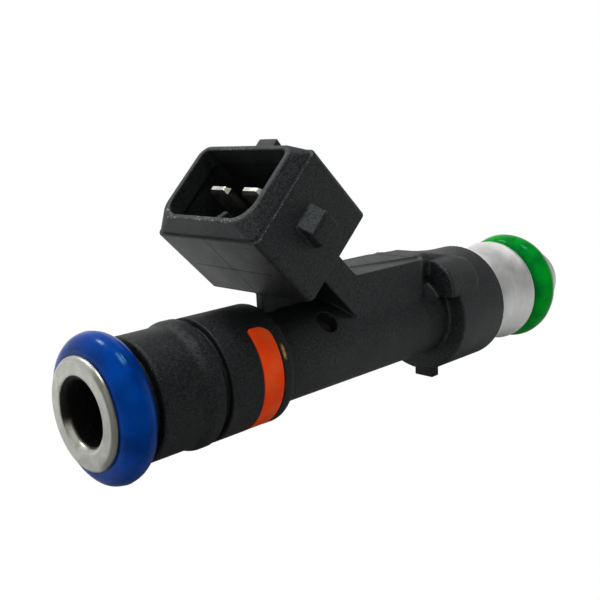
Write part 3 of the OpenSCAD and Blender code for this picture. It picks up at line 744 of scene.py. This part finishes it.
MATERIALS = {
    "black_nylon": black_nylon(),
    "inlet_steel": metal("inlet_steel", (0.46, 0.47, 0.42), (0.62, 0.63, 0.57), 0.30,
                         stain=(0.32, 0.30, 0.20), dark_mouth=True),
    "blue_rubber": rubber("blue_rubber", (0.0, 0.026, 0.17), (0.0, 0.047, 0.31), 0.17,
                          gloss=1.0, tint=(0.12, 0.60, 1.0)),
    "orange_plastic": rubber("orange_plastic", (1.0, 0.065, 0.008), (1.0, 0.110, 0.022), 0.45, 0.3),
    "filter_brass": metal("filter_brass", (0.28, 0.20, 0.08), (0.42, 0.31, 0.13), 0.4),
    "filter_plastic": plain_plastic("filter_plastic", (0.03, 0.028, 0.022),
                                    (0.05, 0.045, 0.035), 0.5),
    "filter_mesh": mesh_weave(),
    "core_steel": metal("core_steel", (0.20, 0.21, 0.22), (0.32, 0.33, 0.34), 0.35),
    "spring_steel": metal("spring_steel", (0.40, 0.40, 0.40), (0.58, 0.58, 0.57), 0.25, "along"),
    "ball_steel": metal("ball_steel", (0.55, 0.55, 0.55), (0.66, 0.66, 0.66), 0.1, grain=0.001),
    "body_steel": metal("body_steel", (0.72, 0.72, 0.715), (0.80, 0.80, 0.79), 0.5, grain=0.003),
    "bobbin_nylon": plain_plastic("bobbin_nylon", (0.05, 0.033, 0.022), (0.08, 0.055, 0.038), 0.5),
    "copper_wire": wound_copper(),
    "tinned_brass": metal("tinned_brass", (0.46, 0.455, 0.41), (0.62, 0.61, 0.56), 0.27, "along"),
    "green_rubber": rubber("green_rubber", (0.0, 0.15, 0.02), (0.0, 0.32, 0.015), 0.19,
                           gloss=0.8, tint=(0.15, 1.0, 0.55)),
    "retainer_nylon": plain_plastic("retainer_nylon", (0.02, 0.024, 0.022),
                                    (0.035, 0.04, 0.037), 0.5),
}

NODE_SLOTS = {
    "filter_collar": "filter_brass", "filter_cage": "filter_plastic",
    "filter_screen": "filter_mesh", "pole_core": "core_steel",
    "adjusting_sleeve": "spring_steel", "armature": "core_steel",
    "needle_tube": "ball_steel", "valve_ball": "ball_steel",
    "guide_disc": "core_steel", "valve_seat": "core_steel", "spray_disc": "body_steel",
    "gap_sleeve": "body_steel", "coil_bobbin": "bobbin_nylon",
    "coil_winding": "copper_wire", "yoke_washer": "core_steel",
    "terminal_left": "tinned_brass", "terminal_right": "tinned_brass",
}


def finish_piece(name, mesh, node, slot, body="body"):
    """Puts a new piece in the scene in place of a CAD node."""
    piece = add_object(name, mesh)
    mesh.materials.clear()
    mesh.materials.append(MATERIALS[slot])
    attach(piece, body)
    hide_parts(node)
    return piece


# ---------------------------------------------------------------- pieces


def make_housing():
    low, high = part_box("housing")
    mesh = skin("moulded_housing", housing_distance, np.array(low) / MM, np.array(high) / MM,
                VOXEL)
    finish_piece("moulded_housing", mesh, "housing", "black_nylon")


def ring_outline(centre_x, centre_r, section, steps=72):
    """An O-ring's section, with the thin flash line that the mould leaves outside and inside."""
    points = []
    for i in range(steps):
        t = 2 * math.pi * i / steps
        ridge = RING_FLASH * math.exp(-(math.cos(t) / 0.045) ** 2)
        r = section + ridge
        points.append((centre_x + r * math.cos(t), centre_r + r * math.sin(t)))
    return points


def make_seal(name, node, slot, middle_r, seed):
    """An O-ring with a slow wave in its skin."""
    x0, x1 = span(node, 0)
    points = ring_outline((x0 + x1) / 2, middle_r, (x1 - x0) / 2)
    shift = Vector((seed, 2 * seed, 3 * seed))
    mesh = revolve(name, points,
                   wobble=lambda p: noise.noise_vector(p * 0.35 + shift) * RING_WAVE)
    finish_piece(name, mesh, node, slot)


def make_inlet_tube():
    flange_r = span("inlet_tube", 2)[1]
    tube_end = span("inlet_tube", 0)[1]
    points = arc((BELL_R, BORE_R + BELL_R), BELL_R, 270, 182, 14)
    points += [(0.02, BORE_R + BELL_R + 0.12)]
    corner = FLANGE_EDGE + 0.02
    points += arc((corner, flange_r - corner), FLANGE_EDGE, 180, 90, 8)
    points += [(FLANGE_T, flange_r), (FLANGE_T, TUBE_R), (tube_end, TUBE_R), (tube_end, BORE_R)]
    mesh = revolve("flanged_tube", points)
    finish_piece("flanged_tube", mesh, "inlet_tube", "inlet_steel")


def make_colour_ring():
    """Split ring whose ends are rounded, most at their rear corners."""
    x0, x1 = RING_X + 0.06, RING_X + RING_W - 0.06
    inner, outer = BARREL_R - RING_T, BARREL_R - 0.02
    start = math.radians(RING_GAP + 0.8)
    section = soften([(x0, inner), (x1, inner), (x1, outer), (x0, outer)], 0.14, 3)
    loops = []
    segments = 320
    for k in range(segments + 1):
        share = k / segments
        share -= 0.9 * math.sin(2 * math.pi * share) / (2 * math.pi)
        t = start + (2 * math.pi - 2 * start) * share
        from_end = min(share, 1 - share) * (2 * math.pi - 2 * start) * outer
        trims = []
        for corner in (RING_FRONT_CORNER, RING_REAR_CORNER):
            rest = max(0.0, (corner - from_end) / corner)
            trims.append((1 - math.sqrt(1 - rest * rest)) * corner)
        low, high = x0 + trims[0], x1 - trims[1]
        loops.append([mm(low + (x - x0) * (high - low) / (x1 - x0),
                         -r * math.sin(t), r * math.cos(t)) for x, r in section])
    mesh = sweep("orange_ring", loops)
    mesh.set_sharp_from_angle(angle=math.radians(35))
    finish_piece("orange_ring", mesh, "colour_ring", "orange_plastic")


def make_coil_cup():
    steps = 16
    flare = [(CUP_FLARE_X + (CUP_END - 0.3 - CUP_FLARE_X) * i / steps,
              CUP_R + (CUP_FLARE_R - CUP_R) * (i / steps) ** 2) for i in range(steps + 1)]
    points = [(CUP_X, CUP_R - CUP_WALL), (CUP_X, CUP_R)] + flare
    points += [(CUP_END - 0.05, CUP_FLARE_R - 0.02), (CUP_END, CUP_FLARE_R - 0.12),
               (CUP_END, BODY_R), (CUP_FLOOR, BODY_R), (CUP_FLOOR, CUP_R - CUP_WALL)]
    mesh = revolve("steel_cup", points)
    finish_piece("steel_cup", mesh, "coil_cup", "body_steel")


def make_valve_body():
    tip_x = span("valve_body", 0)[1]
    points = [(CUP_FLOOR, ARMATURE_BORE_R), (CUP_FLOOR, BODY_R), (CUP_END, BODY_R),
              (CUP_END, GROOVE_R), (RETAINER_END, GROOVE_R), (RETAINER_END, TIP_R),
              (tip_x - TIP_CORNER, TIP_R), (tip_x, TIP_R - TIP_CORNER), (tip_x, TIP_BORE_R),
              (SEAT_X, TIP_BORE_R), (SEAT_X, SEAT_R), (ARMATURE_X, SEAT_R),
              (ARMATURE_X, ARMATURE_BORE_R)]
    sizes = [0.05, 0.05, 0.05, 0.1, 0.05, 0.1, 0.2, 0.2, 0.08, 0.05, 0.05, 0.05, 0.05]
    mesh = revolve("valve_barrel", soften(points, sizes))
    finish_piece("valve_barrel", mesh, "valve_body", "body_steel")


def make_retainer():
    points = [(RETAINER_X, GROOVE_R), (RETAINER_X, RETAINER_R), (RETAINER_END - 0.6, RETAINER_R),
              (RETAINER_END, RETAINER_R - 0.6), (RETAINER_END, GROOVE_R)]
    mesh = revolve("seal_retainer", soften(points, [0.02, 0.25, 0.2, 0.2, 0.02]))
    finish_piece("seal_retainer", mesh, "ring_retainer", "retainer_nylon")


def make_spring():
    """Closing spring: a wire swept along an even helix."""
    x0, x1 = span("closing_spring", 0)
    sides, steps = 14, 36
    length = x1 - x0 - 2 * SPRING_WIRE
    loops = []
    for k in range(int(SPRING_TURNS * steps) + 1):
        t = k / (SPRING_TURNS * steps)
        a = 2 * math.pi * SPRING_TURNS * t
        centre_x = x0 + SPRING_WIRE + length * t
        loop = []
        for i in range(sides):
            b = 2 * math.pi * i / sides
            r = SPRING_COIL + SPRING_WIRE * math.cos(b)
            loop.append(mm(centre_x + SPRING_WIRE * math.sin(b),
                           r * math.cos(a), r * math.sin(a)))
        loops.append(loop)
    piece = finish_piece("needle_spring", sweep("needle_spring", loops), "closing_spring",
                         "spring_steel")
    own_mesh(piece)


def finish_cad_nodes():
    """Materials on the CAD nodes that stay, with the terminals' sharp edges broken."""
    for node, slot in NODE_SLOTS.items():
        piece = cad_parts[node]
        piece.data.materials.clear()
        piece.data.materials.append(MATERIALS[slot])
        if node.startswith("terminal"):
            weld = piece.modifiers.new("weld", "WELD")
            weld.merge_threshold = mm(0.002)
            bevel = piece.modifiers.new("edges", "BEVEL")
            bevel.width = mm(0.1)
            bevel.segments = 3
            bevel.limit_method = "ANGLE"
            bevel.angle_limit = math.radians(40)


make_housing()
make_inlet_tube()
make_seal("blue_seal", "upper_o_ring", "blue_rubber", TUBE_R + UPPER_RING_R, 3.1)
make_colour_ring()
make_coil_cup()
make_valve_body()
make_seal("green_seal", "lower_o_ring", "green_rubber", GROOVE_R + LOWER_RING_R, 7.7)
make_retainer()
make_spring()
finish_cad_nodes()

# ---------------------------------------------------------------- studio


# Painted light: the floor's colour goes from dim to bright along a direction, by millimetres of
# that way, standing in for light that falls off across the floor
FLOOR_SLOPE = (0.5, 1.0, 0.0)
FLOOR_DIM_AT, FLOOR_BRIGHT_AT = -23, 72
FLOOR_DIM, FLOOR_BRIGHT = 0.42, 0.9


def make_floor():
    """A wide pale floor, white to the eye, that lights the part's underside, with painted light
    graded across its colour.
    """
    side = 1.5
    mesh = bpy.data.meshes.new("floor")
    z = cad_box[0].z - mm(0.3)
    mesh.from_pydata([(-side, -side, z), (side, -side, z), (side, side, z), (-side, side, z)],
                     [], [(0, 1, 2, 3)])
    floor = add_object("floor", mesh)
    material = bpy.data.materials.new("floor")
    material.use_nodes = True
    tree = material.node_tree
    bsdf = tree.nodes["Principled BSDF"]
    place = tree.nodes.new("ShaderNodeTexCoord").outputs["Object"]
    across = tree.nodes.new("ShaderNodeVectorMath")
    across.operation = "DOT_PRODUCT"
    across.inputs[1].default_value = FLOOR_SLOPE
    tree.links.new(place, across.inputs[0])
    painted_light_grade = tree.nodes.new("ShaderNodeMapRange")
    painted_light_grade.interpolation_type = "SMOOTHSTEP"
    for key, value in (("From Min", mm(FLOOR_DIM_AT)), ("From Max", mm(FLOOR_BRIGHT_AT)),
                       ("To Min", FLOOR_DIM), ("To Max", FLOOR_BRIGHT)):
        painted_light_grade.inputs[key].default_value = value
    tree.links.new(across.outputs["Value"], painted_light_grade.inputs["Value"])
    tree.links.new(painted_light_grade.outputs[0], bsdf.inputs["Base Color"])
    bsdf.inputs["Roughness"].default_value = 0.9
    glow = tree.nodes.new("ShaderNodeEmission")
    glow.inputs["Strength"].default_value = 1.0
    choose = tree.nodes.new("ShaderNodeMixShader")
    path = tree.nodes.new("ShaderNodeLightPath")
    tree.links.new(path.outputs["Is Camera Ray"], choose.inputs[0])
    tree.links.new(bsdf.outputs[0], choose.inputs[1])
    tree.links.new(glow.outputs[0], choose.inputs[2])
    tree.links.new(choose.outputs[0], tree.nodes["Material Output"].inputs["Surface"])
    mesh.materials.append(material)


WORLD_BASE = 0.04
# Each lobe: direction, cosine where it starts, cosine where it is full, strength
WORLD_LOBES = [((-0.80, -0.30, 0.52), 0.1, 1.0, 0.75), ((0.25, 0.95, 0.20), 0.0, 0.9, 0.75),
               ((0.95, -0.30, -0.05), 0.72, 1.0, 0.65)]


def make_world():
    """Soft room light: a low base with a lobe added around each of a few directions."""
    world = bpy.data.worlds.new("studio")
    bpy.context.scene.world = world
    world.use_nodes = True
    tree = world.node_tree
    background = tree.nodes["Background"]
    direction = tree.nodes.new("ShaderNodeTexCoord").outputs["Generated"]
    total = None
    for axis, start, full, strength in WORLD_LOBES:
        dot = tree.nodes.new("ShaderNodeVectorMath")
        dot.operation = "DOT_PRODUCT"
        dot.inputs[1].default_value = Vector(axis).normalized()
        tree.links.new(direction, dot.inputs[0])
        ramp = tree.nodes.new("ShaderNodeMapRange")
        ramp.interpolation_type = "SMOOTHSTEP"
        for key, value in (("From Min", start), ("From Max", full), ("To Min", 0.0),
                           ("To Max", strength)):
            ramp.inputs[key].default_value = value
        tree.links.new(dot.outputs["Value"], ramp.inputs["Value"])
        add = tree.nodes.new("ShaderNodeMath")
        add.operation = "ADD"
        tree.links.new(ramp.outputs[0], add.inputs[0])
        if total is None:
            add.inputs[1].default_value = WORLD_BASE
        else:
            tree.links.new(total, add.inputs[1])
        total = add.outputs[0]
    tree.links.new(total, background.inputs["Strength"])
    white = tree.nodes.new("ShaderNodeBackground")
    choose = tree.nodes.new("ShaderNodeMixShader")
    path = tree.nodes.new("ShaderNodeLightPath")
    tree.links.new(path.outputs["Is Camera Ray"], choose.inputs[0])
    tree.links.new(background.outputs[0], choose.inputs[1])
    tree.links.new(white.outputs[0], choose.inputs[2])
    tree.links.new(choose.outputs[0], tree.nodes["World Output"].inputs["Surface"])
    background.inputs["Color"].default_value = (1, 1, 1, 1)
    white.inputs["Color"].default_value = (1, 1, 1, 1)


def make_light(name, direction, distance, size, power):
    """A square soft light that faces the middle of the part."""
    data = bpy.data.lights.new(name, "AREA")
    data.shape = "SQUARE"
    data.size = mm(size)
    data.energy = power
    light = bpy.data.objects.new(name, data)
    bpy.context.scene.collection.objects.link(light)
    middle = (cad_box[0] + cad_box[1]) / 2
    towards = Vector(direction).normalized()
    light.location = middle + towards * mm(distance)
    light.rotation_mode = "QUATERNION"
    light.rotation_quaternion = towards.to_track_quat("Z", "Y")


make_floor()
make_world()
make_light("key_light", (-0.05, -0.18, 1), 320, 66, 0.46)
make_light("back_light", (-0.2, 0.5, 0.84), 320, 60, 0.30)
bpy.context.scene.view_settings.view_transform = "Standard"
